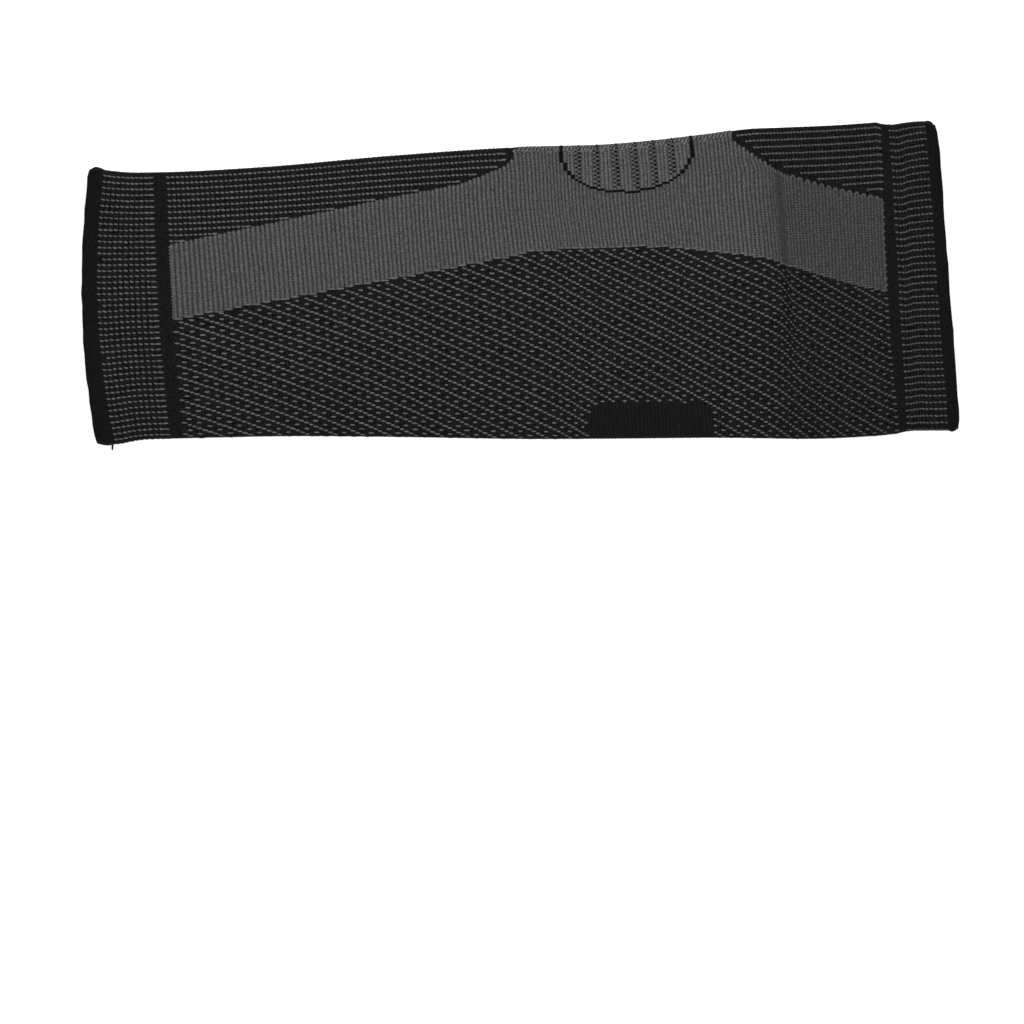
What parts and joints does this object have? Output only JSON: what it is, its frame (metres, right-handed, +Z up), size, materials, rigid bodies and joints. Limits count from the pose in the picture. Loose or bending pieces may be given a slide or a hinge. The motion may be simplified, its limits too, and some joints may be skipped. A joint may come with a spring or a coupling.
{
  "type": "knitted knee sleeve",
  "caption": "Seamless knitted compression sleeve for a knee, lying flat: a tapered open tube with black cuffs, a grey support band, a kneecap oval and a patterned back.",
  "frame": {"origin": "centre of the lying sleeve's box, on the surface it lies on", "axes": "+X along the leg towards the wider thigh mouth, +Y towards the kneecap side, +Z up out of the surface it lies on"},
  "size_m": [0.3031, 0.1096, 0.0126],
  "materials": {
    "black_knit": "matt rib knit of black nylon and elastane",
    "grey_knit": "matt rib knit of grey nylon and elastane",
    "hem_knit": "smooth overlocked edge of black yarn"
  },
  "bodies": {
    "root": {"calf_hem": "hem_knit", "calf_cuff": "black_knit", "calf_border": "black_knit", "shin_rib_panel": "black_knit", "support_band": "grey_knit", "kneecap_panel": "grey_knit", "thigh_rib_panel": "black_knit", "mesh_panel": "black_knit", "back_knee_panel": "black_knit", "thigh_border": "black_knit", "thigh_cuff": "black_knit", "thigh_hem": "hem_knit"}
  },
  "joints": []
}
